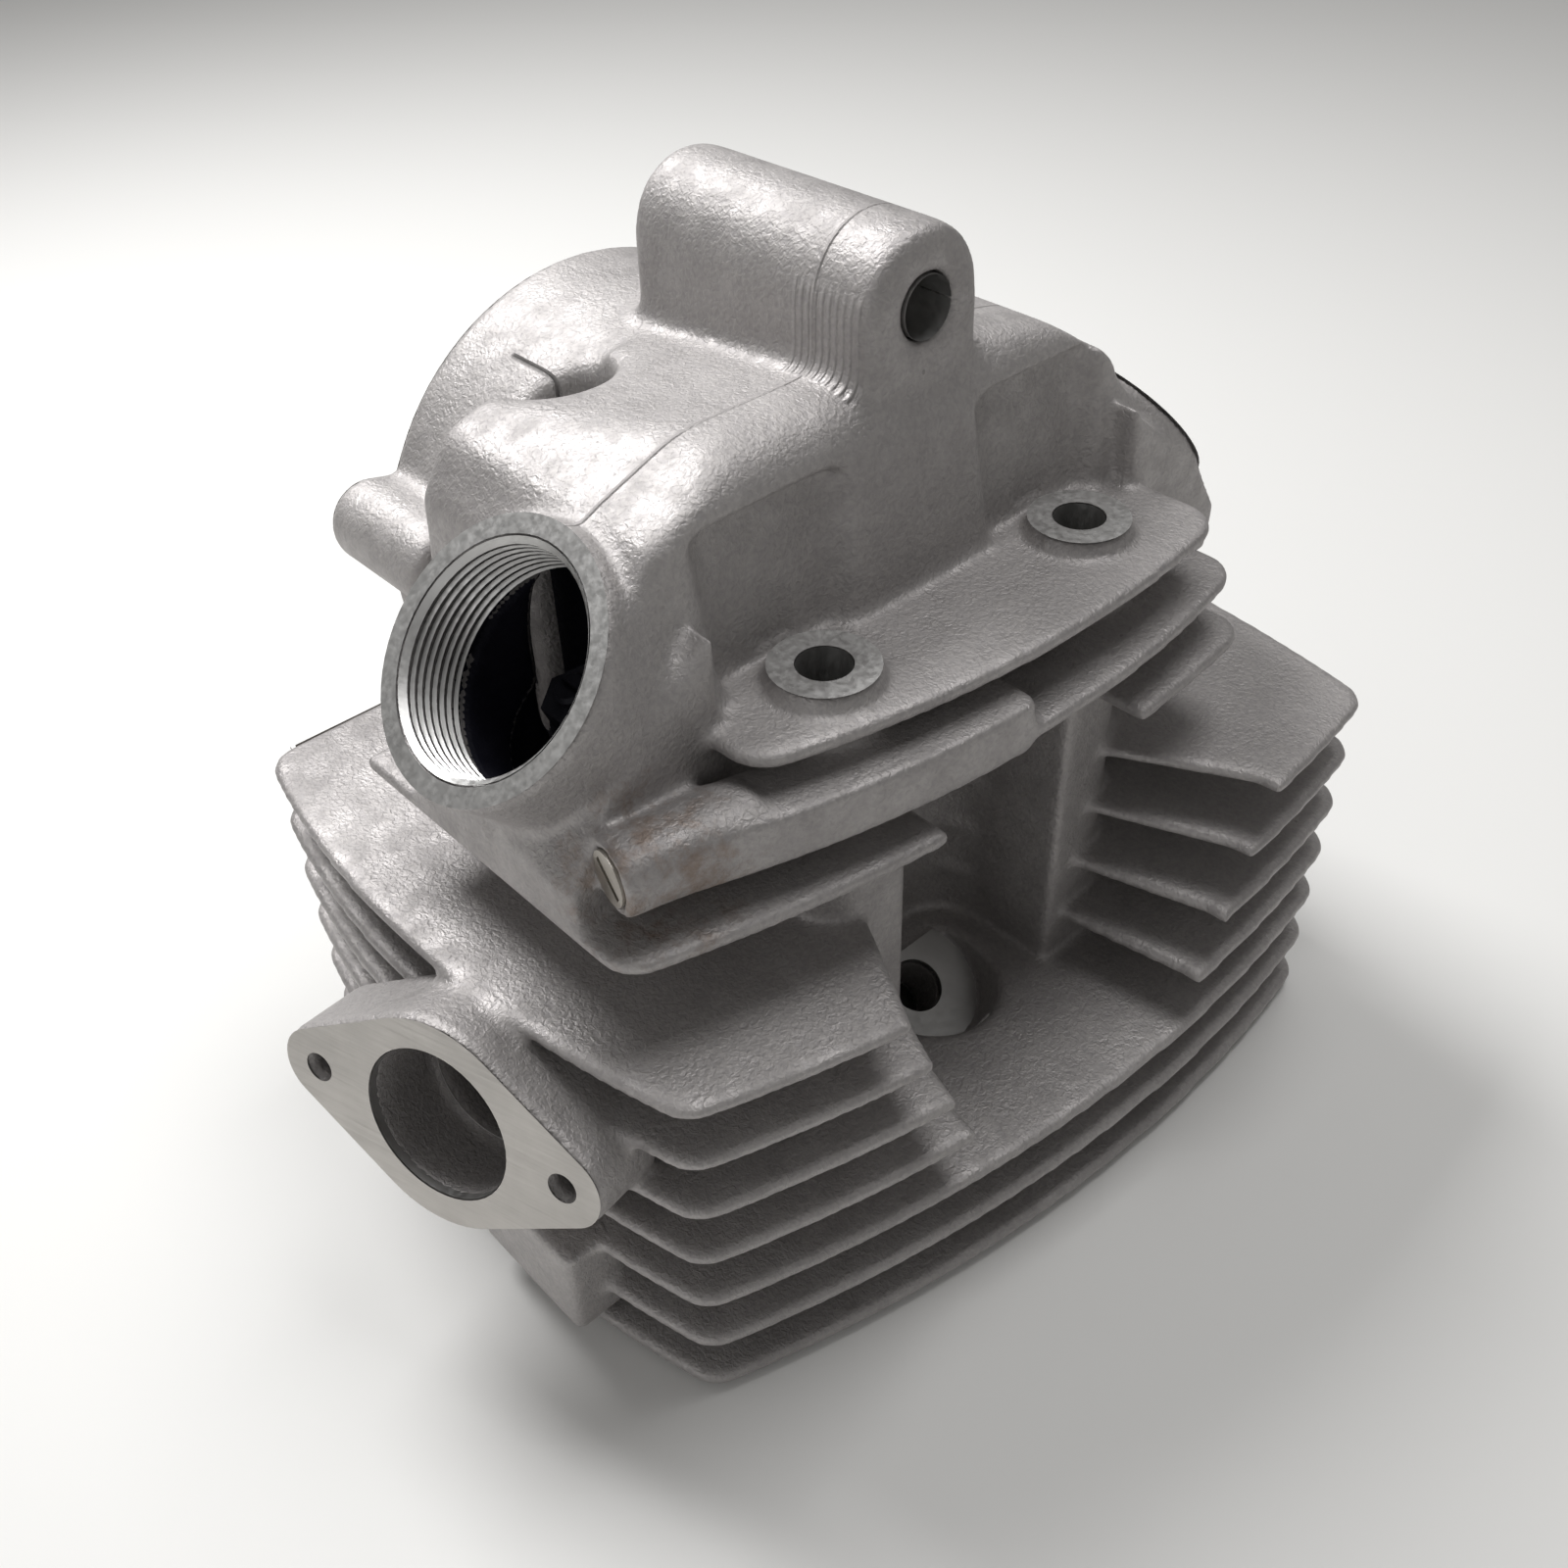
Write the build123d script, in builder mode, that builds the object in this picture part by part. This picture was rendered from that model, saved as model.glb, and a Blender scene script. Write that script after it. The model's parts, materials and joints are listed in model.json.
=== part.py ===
from build123d import *

import os
from math import acos, atan2, cos, degrees, pi, radians, sin, sqrt

# Air-cooled overhead-camshaft single-cylinder head, in millimetres.
# Origin: cylinder axis on the gasket face. +Z up the cylinder axis, +X towards the spark plug,
# -X towards the cam chain, -Y intake, +Y exhaust.

# ---------------------------------------------------------------- driving dimensions
BORE_R = 31.0
STUD_DX, STUD_DY = 62.0, 60.0
STUD_HOLE_R = 4.4
SPOTFACE_R, SPOTFACE_Z = 9.0, 123.0
CHAMBER_DEPTH = 20.0

FIN_COUNT, FIN_PITCH, FIN_T, FIN_Z0 = 7, 12.25, 2.6, 2.0
RECESS_FLOOR_Z = 29.0
CHAIN_FACE_X = -67.0
WEB_X0, WEB_X1 = -44.0, -32.0
PLATE_T, PLATE_TOP = 2.8, 120.0
POCKET_X, POCKET_WIDTH, POCKET_DRAFT = 20.0, 27.0, 7.0
WALL_TOP_X, COLUMN_R = 21.0, 17.0
CUTTER_R, CUTTER_DEPTH = 11.0, 6.5
CAVITY_X1, CAVITY_Z0 = 15.0, 83.0
# underside height, intake corner, widest point, exhaust corner and corner radius of each plate
PLATES = [
    (94.8, (39, -78), (52.5, -15), (51, 57), 7),
    (105.5, (38, -66), (52, -8), (47, 57), 8),
    (117.2, (38.5, -51.5), (48.5, 0), (45.5, 51.5), 8),
]
GALLERY_START, GALLERY_DIR = Vector(32.5, -74, 109), Vector(0.19, 0.982, 0)
GALLERY_BORE_R = 3.5

CAM_Z = 102.5
CAM_BASE_R, CAM_LIFT, CAM_HALF_ANGLE = 13.0, 4.7, 62.0
CAM_SHAFT_R, CAM_JOURNAL_R, CAM_TAIL_R = 8.5, 10.0, 9.0
LOBE_X = {-1: -11.0, 1: 5.0}
LOBE_W = 9.0
DOME_R, CHAMBER_R = 48.0, 43.0

CAP_X = 5.8
CAP_YZ = {-1: (-71.4, 132.1), 1: (68.3, 120.1)}
CAP_TILT = {-1: 43.8, 1: 38.0}
CAP_RING_R, CAP_MINOR_R, CAP_MAJOR_R, CAP_PITCH, CAP_MOUTH = 21.9, 17.2, 18.0, 1.5, 1.2
CAP_THREADS = {-1: 7, 1: 5}

VALVE_X, VALVE_TILT = 2.0, 22.0
SEAT_Y, SEAT_Z = 15.5, 16.0
VALVE_LEN, STEM_R, VALVE_LIFT = 90.0, 2.75, 7.4
HEAD_R = {-1: 14.0, 1: 12.5}
SPRING_BASE, SPRING_TOP, POCKET_BORE_R = 56.0, 80.5, 15.5
GUIDE_R, SEAT_WALL, SEAT_H = 5.2, 1.8, 7.0
KEY_H = 83.5

ROCKER_Y, ROCKER_Z, ROCKER_SHAFT_R, HUB_R = 13.0, 131.0, 5.5, 8.0
HUB_X0, HUB_X1 = -17.0, 11.0
LASH = 0.1
FIT = 0.03
SHAFT_X1 = 17.5
BEARING_R, BEARING_W = 21.0, 12.0
PAD_R, ADJUSTER_R = 2.4, 3.0
LOBE_TRAIL, LOBE_STEPS = 122.0, 24
SPROCKET_BOLT_R = 2.5
BALLS, BALL_R, BALL_PITCH_R = 9, 3.1, 15.5
SCREW_Z = 140.0
TIP_R = 5.0

FLANGE_C = Vector(14.4, -100.3, 60.9)
FLANGE_YAW, FLANGE_TILT = 17.0, 13.0
PORT_R, FLANGE_HALF = 13.8, 24.6
FLANGE_T, EXHAUST_FLANGE_T = 16.0, 9.0
RUNNER_R = {-1: 12.6, 1: 11.0}
EXHAUST_C, EXHAUST_DIR = Vector(2.0, 93.0, 40.0), Vector(0, 1, 0)
EXHAUST_PORT_R, EXHAUST_HALF = 12.0, 28.0
M6_MINOR_R, M8_MINOR_R = 2.5, 3.4

PLUG_X, PLUG_Z, PLUG_TILT, PLUG_MINOR_R = 25.2, 25.4, 30.0, 5.35

LUG_Y, LUG_Z, LUG_R, LUG_HOLE_R = 4.7, 163.6, 12.3, 5.0
LUG_X0, LUG_X1 = -38.0, 18.3

SPROCKET_TEETH, CHAIN_PITCH, ROLLER_R, SPROCKET_T, SPROCKET_X = 34, 6.35, 1.75, 3.4, -50.5

os.makedirs("parts", exist_ok=True)
SIDES = {-1: "intake", 1: "exhaust"}


def save(part, label):
    """Label one finished piece and write it."""
    part.label = label
    export_step(part, f"parts/{label}.step")


# ---------------------------------------------------------------- shared geometry
def valve_dir(s):
    """Unit vector up a valve stem, from head to tip."""
    return Vector(0, s * sin(radians(VALVE_TILT)), cos(radians(VALVE_TILT)))


def valve_at(s, h):
    """Point on a valve's axis, h above its head's lower face."""
    return Vector(VALVE_X, s * SEAT_Y, SEAT_Z) + valve_dir(s) * h


def section_plane(origin, up):
    """Plane holding the X direction and 'up', for a profile revolved about 'up'."""
    return Plane(origin=origin, x_dir=(1, 0, 0), z_dir=Vector(1, 0, 0).cross(up))


def valve_section(s):
    return section_plane(valve_at(s, 0), valve_dir(s))


def valve_plane(s, h):
    """Plane square to a valve's axis at height h."""
    return Plane(origin=valve_at(s, h), x_dir=(1, 0, 0), z_dir=valve_dir(s))


def valve_axis(s):
    return Axis(valve_at(s, 0), valve_dir(s))


def cap_dir(s):
    """Unit vector out of a tappet opening."""
    t = radians(CAP_TILT[s])
    return Vector(0, s * cos(t), sin(t))


def cap_centre(s):
    return Vector(CAP_X, *CAP_YZ[s])


def cap_plane(s, depth=0.0):
    """Plane of a tappet opening's rim, 'depth' below it."""
    return Plane(origin=cap_centre(s) - cap_dir(s) * depth, x_dir=(1, 0, 0), z_dir=cap_dir(s))


def cap_wall(s):
    """Depth of a tappet opening's threaded wall."""
    return CAP_MOUTH + CAP_THREADS[s] * CAP_PITCH


def x_plane(x):
    """Plane square to X whose sketch axes are Y and Z."""
    return Plane(origin=(x, 0, 0), x_dir=(0, 1, 0), z_dir=(1, 0, 0))


STUDS = [(x, y) for x in (-STUD_DX / 2, STUD_DX / 2) for y in (-STUD_DY / 2, STUD_DY / 2)]
PLUG_STUDS = [(x, y) for x, y in STUDS if x > 0]

yaw, tilt = radians(FLANGE_YAW), radians(FLANGE_TILT)
FLANGE_DIR = Vector(sin(yaw) * cos(tilt), -cos(yaw) * cos(tilt), sin(tilt))
flange_plane = Plane(origin=FLANGE_C, x_dir=Vector(0, 0, 1).cross(FLANGE_DIR), z_dir=FLANGE_DIR)
exhaust_plane = Plane(origin=EXHAUST_C, x_dir=(-1, 0, 0), z_dir=EXHAUST_DIR)
PLUG_DIR = Vector(sin(radians(PLUG_TILT)), 0, cos(radians(PLUG_TILT)))

plug_plane = Plane(origin=(PLUG_X, 0, PLUG_Z), x_dir=(0, 1, 0), z_dir=PLUG_DIR)
gallery_plane = Plane(origin=GALLERY_START, x_dir=(0.982, -0.19, 0), z_dir=GALLERY_DIR)

COVER_BOSSES = [(-50.0, 116.5), (50.0, 116.5), (-46.0, 66.0), (46.0, 66.0)]


RUNNERS = {
    -1: [valve_at(-1, 19), Vector(3, -44, 40.5), Vector(5.5, -64, 47.5), FLANGE_C - FLANGE_DIR * 15],
    1: [valve_at(1, 19), Vector(2, 42, 39), EXHAUST_C - EXHAUST_DIR * 20],
}


# ---------------------------------------------------------------- casting, outside shapes
with BuildSketch() as fin_plan:
    # one lower fin: bulged sides, rounded corners
    with BuildLine():
        ThreePointArc((CHAIN_FACE_X, -81), (-8, -88.3), (52, -79))
        ThreePointArc((52, -79), (68.8, -8), (66.5, 79))
        ThreePointArc((66.5, 79), (-4, 87.5), (CHAIN_FACE_X, 81))
        Line((CHAIN_FACE_X, 81), (CHAIN_FACE_X, -81))
    make_face()
    fillet(vertices(), 7)

with BuildPart() as rocker_box:
    # hipped roof: the XZ outline cut to the YZ outline
    with BuildSketch(Plane.XZ):
        with BuildLine():
            Polyline((24, 80), (24, 116), (WALL_TOP_X, 143))
            ThreePointArc((WALL_TOP_X, 143), (WALL_TOP_X - 3.4, 151), (10, 154))
            Polyline((10, 154), (-32, 149.5), (-32, 80), (24, 80))
        make_face()
    extrude(amount=60, both=True)
    with BuildSketch(x_plane(-40)):
        with BuildLine():
            Polyline((-36, 153), (-52, 147), (-58, 138), (-60, 100), (-52, 70), (52, 70))
            Polyline((52, 70), (58, 100), (56, 132), (48, 143), (36, 151))
            ThreePointArc((36, 151), (0, 155.5), (-36, 153))
        make_face()
    extrude(amount=90, mode=Mode.INTERSECT)

# tool that clears the cast pocket over a plug side stud, its walls leaning back for draft
with BuildPart() as stud_pocket:
    with BuildSketch(Plane.XY.offset(PLATE_TOP)):
        with Locations((POCKET_X - STUD_DX / 2 + 30, 0)):
            RectangleRounded(60, POCKET_WIDTH, 3)
    extrude(amount=26, taper=-POCKET_DRAFT)

with BuildPart() as cavity:
    # rocker and camshaft space
    with BuildSketch(Plane.XZ):
        with BuildLine():
            Polyline((CAVITY_X1, CAVITY_Z0), (CAVITY_X1, 139))
            JernArc((CAVITY_X1, 139), (0, 1), 9, 90)
            Polyline((CAVITY_X1 - 9, 148), (WEB_X1, 144), (WEB_X1, CAVITY_Z0), (CAVITY_X1, CAVITY_Z0))
        make_face()
    extrude(amount=60, both=True)
    with BuildSketch(x_plane(WEB_X1)):
        with BuildLine():
            Polyline((-50, CAVITY_Z0), (-52, 100), (-52, 134), (-47, 141), (-32, 148), (28, 148),
                     (43, 140), (51, 130), (52, 100), (50, CAVITY_Z0), (-50, CAVITY_Z0))
        make_face()
    extrude(amount=60, mode=Mode.INTERSECT)
    # metal kept round the stud pockets
    for x, y in STUDS:
        with Locations((x, y, 80)):
            Cylinder(COLUMN_R if x > 0 else 12.6, 160, mode=Mode.SUBTRACT)

with BuildPart() as casting:
    # core round the chamber and the four stud columns
    with BuildSketch():
        RectangleRounded(STUD_DX + 19, STUD_DY + 19, 9)
    extrude(amount=98)
    # plug recess through the core
    with BuildSketch(Plane.XY.offset(RECESS_FLOOR_Z)):
        with Locations((34, 0)):
            RectangleRounded(44, 41, 12)
    extrude(amount=95 - RECESS_FLOOR_Z, mode=Mode.SUBTRACT)
    # fins, the upper four parted by the recess, which widens towards the top
    for i in range(FIN_COUNT):
        with BuildSketch(Plane.XY.offset(FIN_Z0 + i * FIN_PITCH)):
            add(fin_plan.sketch)
            if i >= 3:
                half = 28.0 + 5.4 * (i - 3)
                with BuildLine():
                    Polyline((12, -14), (22, -20.5), (66, -half), (80, -half),
                             (80, half), (66, half), (22, 20.5), (12, 14), (12, -14))
                make_face(mode=Mode.SUBTRACT)
        extrude(amount=FIN_T)
    # cam chain tunnel block and sprocket housing
    with BuildSketch():
        with Locations(((CHAIN_FACE_X - 34) / 2, 0)):
            RectangleRounded(-CHAIN_FACE_X - 34, 56, 5)
    extrude(amount=90)
    with BuildSketch(x_plane(CHAIN_FACE_X)):
        with Locations((0, CAM_Z)):
            Circle(DOME_R)
    extrude(amount=-CHAIN_FACE_X - 28)
    for y, z in COVER_BOSSES:
        with BuildSketch(x_plane(CHAIN_FACE_X)):
            SlotCenterPoint(((y * 0.8), CAM_Z + (z - CAM_Z) * 0.8), (y, z), 16)
        extrude(amount=28)
    # rocker box, and the three plates under it on the plug side
    add(rocker_box.part)
    for z, low, widest, high, corner in PLATES:
        with BuildSketch(Plane.XY.offset(z)):
            with BuildLine():
                Line((-30, low[1]), low)
                ThreePointArc(low, widest, high)
                Polyline(high, (-30, high[1]), (-30, low[1]))
            make_face()
            fillet(vertices().filter_by(lambda v: v.X > 0), corner)
            if z < 100:
                with Locations((46, 0)):
                    RectangleRounded(60, 45, 9, mode=Mode.SUBTRACT)
        extrude(amount=PLATE_T)
    # oil gallery: a plug boss, and a band along the plates past the middle
    with BuildSketch(gallery_plane):
        RectangleRounded(12, 11.5, 4.5)
    extrude(amount=24)
    with BuildSketch(Plane.XY.offset(103.4)):
        with BuildLine():
            ThreePointArc((37, -70), (47.6, -36), (52, -3))
            Line((52, -3), (38, -3))
            ThreePointArc((38, -3), (34, -36), (25, -68))
            Line((25, -68), (37, -70))
        make_face()
        fillet(vertices(), 3)
    extrude(amount=9.6)
    # skirts under the tappet openings, and the openings' tubes
    for s in SIDES:
        with BuildSketch(x_plane(-15)):
            with BuildLine():
                Polyline((s * 48, 94.8), (s * 77, 94.8), (s * 78, 104), (s * 70, 116),
                         (s * 48, 135), (s * 48, 94.8))
            make_face()
        extrude(amount=43)
        with BuildSketch(cap_plane(s)):
            Circle(CAP_RING_R)
        extrude(amount=-44)
    # engine hanger lug
    with BuildSketch(x_plane(LUG_X0)):
        with BuildLine():
            Line((LUG_Y - LUG_R, 140), (LUG_Y - LUG_R, LUG_Z))
            ThreePointArc((LUG_Y - LUG_R, LUG_Z), (LUG_Y, LUG_Z + LUG_R), (LUG_Y + LUG_R, LUG_Z))
            Polyline((LUG_Y + LUG_R, LUG_Z), (LUG_Y + LUG_R, 140), (LUG_Y - LUG_R, 140))
        make_face()
    extrude(amount=LUG_X1 - LUG_X0)
    # port bodies and their two-stud flanges
    for plane, body_r, hub_r, half, end_r, thick, length in (
        (flange_plane, 17.5, 19.5, FLANGE_HALF, 7.3, FLANGE_T, 66),
        (exhaust_plane, 16.5, 18.5, EXHAUST_HALF, 8.0, EXHAUST_FLANGE_T, 60),
    ):
        with BuildSketch(plane):
            Circle(hub_r)
            with Locations((-half, 0), (half, 0)):
                Circle(end_r)
            make_hull()
        extrude(amount=-thick)
        with BuildSketch(plane):
            Circle(body_r)
        extrude(amount=-length)
    # block under the intake flange
    with BuildSketch(Plane.XY.offset(8)):
        with Locations((15, -85)):
            RectangleRounded(30, 12, 1.5)
    extrude(amount=21)
    # spring towers
    for s in SIDES:
        with BuildSketch(valve_plane(s, 40)):
            Circle(POCKET_BORE_R + 3.5)
        extrude(amount=48)
    # camshaft tail boss
    with BuildSketch(x_plane(14)):
        with Locations((0, CAM_Z)):
            Circle(14)
    extrude(amount=18)
    # pockets over the plug side studs, then all stud columns
    for x, y in PLUG_STUDS:
        with Locations((x, y, 0)):
            add(stud_pocket.part, mode=Mode.SUBTRACT)
            with Locations((0, 0, SPOTFACE_Z)):
                Cylinder(CUTTER_R, CUTTER_DEPTH, align=(Align.CENTER, Align.CENTER, Align.MIN),
                         mode=Mode.SUBTRACT)
    with BuildSketch(Plane.XY.offset(90)):
        with Locations(*PLUG_STUDS):
            Circle(SPOTFACE_R)
    extrude(amount=SPOTFACE_Z - 90)

    # ------------------------------------------------------------ casting, inside
    add(cavity.part, mode=Mode.SUBTRACT)
    for s in SIDES:
        wall = cap_wall(s)
        for depth, r, length in ((0, CAP_MINOR_R, wall), (wall, CAP_MINOR_R + 0.7, 40 - wall)):
            with BuildSketch(cap_plane(s, depth)):
                Circle(r)
            extrude(amount=-length, mode=Mode.SUBTRACT)
        with BuildSketch(valve_plane(s, SPRING_BASE)):
            Circle(POCKET_BORE_R)
        extrude(amount=44, mode=Mode.SUBTRACT)
    # bosses for the rocker shafts
    for x0, x1 in ((WEB_X1, HUB_X0 - 0.5), (HUB_X1 + 0.5, CAVITY_X1 + 2)):
        with BuildSketch(x_plane(x0)):
            with Locations((-ROCKER_Y, ROCKER_Z), (ROCKER_Y, ROCKER_Z)):
                Circle(9)
        extrude(amount=x1 - x0)
    with BuildSketch(x_plane(WEB_X0)):
        with Locations((-ROCKER_Y, ROCKER_Z), (ROCKER_Y, ROCKER_Z)):
            Circle(ROCKER_SHAFT_R + FIT)
    extrude(amount=SHAFT_X1 - WEB_X0 + 0.3, mode=Mode.SUBTRACT)
    # sprocket housing, chain tunnel, bearing seat and tail bore
    with BuildSketch(x_plane(CHAIN_FACE_X)):
        with Locations((0, CAM_Z)):
            Circle(CHAMBER_R)
    extrude(amount=WEB_X0 - CHAIN_FACE_X, mode=Mode.SUBTRACT)
    with BuildSketch():
        with Locations(((CHAIN_FACE_X + 5 + WEB_X0) / 2, 0)):
            RectangleRounded(WEB_X0 - CHAIN_FACE_X - 5, 42, 4)
    extrude(amount=CAM_Z, mode=Mode.SUBTRACT)
    with BuildSketch(x_plane(WEB_X0)):
        with Locations((0, CAM_Z)):
            Circle(BEARING_R)
    extrude(amount=WEB_X1 - WEB_X0, mode=Mode.SUBTRACT)
    with BuildSketch(x_plane(CAVITY_X1)):
        with Locations((0, CAM_Z)):
            Circle(CAM_TAIL_R + FIT)
    extrude(amount=13, mode=Mode.SUBTRACT)
    # stud holes, spotfaces and the nut pockets over the chain side studs
    with Locations(*[(x, y, 80) for x, y in STUDS]):
        Cylinder(STUD_HOLE_R, 180, mode=Mode.SUBTRACT)
    with Locations(*[(x, y, SPOTFACE_Z) for x, y in STUDS if x < 0]):
        Cylinder(SPOTFACE_R + 0.6, 40, align=(Align.CENTER, Align.CENTER, Align.MIN), mode=Mode.SUBTRACT)
    # combustion chamber
    sphere_r = (BORE_R**2 + CHAMBER_DEPTH**2) / (2 * CHAMBER_DEPTH)
    with Locations((0, 0, CHAMBER_DEPTH - sphere_r)):
        Sphere(sphere_r, mode=Mode.SUBTRACT)
    # valve seats, throats, guides
    for s in SIDES:
        for h0, h1, r in (
            (-9, SEAT_H, HEAD_R[s] + SEAT_WALL),
            (SEAT_H, 19, RUNNER_R[s]),
            (19, SPRING_BASE, GUIDE_R),
        ):
            with BuildSketch(valve_plane(s, h0)):
                Circle(r)
            extrude(amount=h1 - h0, mode=Mode.SUBTRACT)
    # ports: straight runners with a ball at each turn
    for s, route in RUNNERS.items():
        for a, b in zip(route, route[1:]):
            with BuildSketch(Plane(origin=a, z_dir=b - a)):
                Circle(RUNNER_R[s])
            extrude(amount=(b - a).length, mode=Mode.SUBTRACT)
        with Locations(*[Location(p) for p in route]):
            Sphere(RUNNER_R[s], mode=Mode.SUBTRACT)
    for plane, r, depth, half, hole_r in (
        (flange_plane, PORT_R, 15, FLANGE_HALF, M6_MINOR_R),
        (exhaust_plane, EXHAUST_PORT_R, 20, EXHAUST_HALF, M8_MINOR_R),
    ):
        with BuildSketch(plane):
            Circle(r)
        extrude(amount=-depth, mode=Mode.SUBTRACT)
        with BuildSketch(plane):
            with Locations((-half, 0), (half, 0)):
                Circle(hole_r)
        extrude(amount=-14, mode=Mode.SUBTRACT)
    # spark plug: spotface, thread
    with BuildSketch(plug_plane):
        Circle(13.5)
    extrude(amount=24, mode=Mode.SUBTRACT)
    with BuildSketch(plug_plane):
        Circle(PLUG_MINOR_R)
    extrude(amount=-20, mode=Mode.SUBTRACT)
    # hanger bolt, cover screws, oil gallery
    with BuildSketch(x_plane(LUG_X0 - 1)):
        with Locations((LUG_Y, LUG_Z)):
            Circle(LUG_HOLE_R)
    extrude(amount=LUG_X1 - LUG_X0 + 2, mode=Mode.SUBTRACT)
    with BuildSketch(x_plane(CHAIN_FACE_X)):
        with Locations(*COVER_BOSSES):
            Circle(M6_MINOR_R)
    extrude(amount=16, mode=Mode.SUBTRACT)
    for r, depth in ((GALLERY_BORE_R, 60), (GALLERY_BORE_R + 0.9, 5)):
        with BuildSketch(gallery_plane):
            Circle(r)
        extrude(amount=depth, mode=Mode.SUBTRACT)
    with BuildSketch(x_plane(WEB_X0)):
        with Locations((0, SCREW_Z)):
            Circle(2.5)
    extrude(amount=9, mode=Mode.SUBTRACT)
    # tappet opening threads: mouth chamfer, then one V groove a pitch
    for s in SIDES:
        with BuildSketch(section_plane(cap_centre(s), cap_dir(s))):
            with BuildLine():
                grooves = [(CAP_MINOR_R - 1, 1), (CAP_MAJOR_R + 0.4, 1), (CAP_MAJOR_R + 0.4, 0),
                           (CAP_MINOR_R, -CAP_MOUTH)]
                for k in range(CAP_THREADS[s]):
                    top = -CAP_MOUTH - k * CAP_PITCH
                    grooves += [(CAP_MINOR_R, top - 0.2), (CAP_MAJOR_R, top - 0.85),
                                (CAP_MINOR_R, top - CAP_PITCH)]
                Polyline(*grooves, (CAP_MINOR_R - 1, -cap_wall(s)), grooves[0])
            make_face()
        revolve(axis=Axis(cap_centre(s), cap_dir(s)), mode=Mode.SUBTRACT)

save(casting.part, "head_casting")


# ---------------------------------------------------------------- valve gear
def revolved(section, axis, profile):
    """Solid of revolution from a closed (radius, height) profile."""
    with BuildPart() as piece:
        with BuildSketch(section):
            with BuildLine():
                Polyline(*profile, profile[0])
            make_face()
        revolve(axis=axis)
    return piece.part


def make_valve(s):
    r = HEAD_R[s]
    with BuildPart() as valve:
        with BuildSketch(valve_section(s)):
            with BuildLine():
                Polyline((0, 0), (r, 0), (r, 1.6), (r - 1.9, 3.5))
                ThreePointArc((r - 1.9, 3.5), (STEM_R + 2.2, 7.5), (STEM_R, 18))
                Polyline((STEM_R, 18), (STEM_R, KEY_H), (STEM_R - 0.5, KEY_H), (STEM_R - 0.5, KEY_H + 1.5),
                         (STEM_R, KEY_H + 1.5), (STEM_R, VALVE_LEN - 0.5), (STEM_R - 0.5, VALVE_LEN),
                         (0, VALVE_LEN), (0, 0))
            make_face()
        revolve(axis=valve_axis(s))
    save(valve.part, f"{SIDES[s]}_valve")


def make_valve_fittings(s):
    """Seat ring, guide, spring seat, stem seal and retainer."""
    name, section, axis = SIDES[s], valve_section(s), valve_axis(s)
    r, throat = HEAD_R[s], RUNNER_R[s]
    bore = STEM_R + FIT
    lip = r + 0.2
    profiles = {
        "valve_seat": [(r + SEAT_WALL, 0), (r + SEAT_WALL, SEAT_H), (throat, SEAT_H),
                       (throat, 1.5 + lip - throat), (lip, 1.5), (lip, 0)],
        "valve_guide": [(bore, 30), (GUIDE_R - 1, 30), (GUIDE_R, 33), (GUIDE_R, 60), (bore, 60)],
        "spring_seat": [(GUIDE_R + 0.1, SPRING_BASE), (POCKET_BORE_R - 0.7, SPRING_BASE),
                        (POCKET_BORE_R - 0.7, SPRING_BASE + 1.5), (GUIDE_R + 0.1, SPRING_BASE + 1.5)],
        "stem_seal": [(GUIDE_R, 57.6), (6.4, 57.6), (6.4, 63), (4.4, 66), (bore, 66), (bore, 60.1),
                      (GUIDE_R, 60.1)],
        "spring_retainer": [(4.0, SPRING_TOP), (13.4, SPRING_TOP), (13.4, SPRING_TOP + 2.2),
                            (8.6, SPRING_TOP + 3.4), (7.4, SPRING_TOP + 6.5), (5.4, SPRING_TOP + 6.5)],
    }
    for label, profile in profiles.items():
        save(revolved(section, axis, profile), f"{name}_{label}")


def make_collets(s):
    """Two half cones that lock the retainer to the stem."""
    low = SPRING_TOP + 0.5
    with BuildPart() as collets:
        for side in (1, -1):
            plane = Plane(origin=valve_at(s, 0), x_dir=(side, 0, 0),
                          z_dir=Vector(side, 0, 0).cross(valve_dir(s)))
            with BuildSketch(plane):
                with BuildLine():
                    Polyline((STEM_R, low), (4.08, low), (5.26, low + 5.5), (STEM_R, low + 5.5),
                             (STEM_R, KEY_H + 1.5), (STEM_R - 0.45, KEY_H + 1.4),
                             (STEM_R - 0.45, KEY_H + 0.1), (STEM_R, KEY_H), (STEM_R, low))
                make_face()
            revolve(axis=valve_axis(s), revolution_arc=172)
    save(collets.part, f"{SIDES[s]}_valve_collets")


def make_spring(s, r, wire_r, turns, label):
    """Coil spring between the spring seat and the retainer."""
    h0, h1 = SPRING_BASE + 1.6 + wire_r, SPRING_TOP - 0.1 - wire_r
    with BuildPart() as spring:
        with BuildLine() as path:
            Helix((h1 - h0) / turns, h1 - h0, r, center=valve_at(s, h0), direction=valve_dir(s))
        start = path.line @ 0
        with BuildSketch(Plane(origin=start, z_dir=path.line % 0)):
            Circle(wire_r)
        sweep(path=path.line, is_frenet=True)
    save(spring.part, label)


def pad_angle():
    """Angle of a rocker pad's contact on the base circle, from +Z away from the valve's own side."""
    rise = ROCKER_Z - CAM_Z
    reach = sqrt(ROCKER_Y**2 + rise**2)
    return degrees(acos((CAM_BASE_R + LASH) / reach) - atan2(ROCKER_Y, rise))


def pad_centre(s):
    """Centre of the rocker pad's rounded face, as (y, z)."""
    beta = radians(pad_angle())
    r = CAM_BASE_R + LASH + PAD_R
    return (-s * r * sin(beta), CAM_Z + r * cos(beta))


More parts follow.
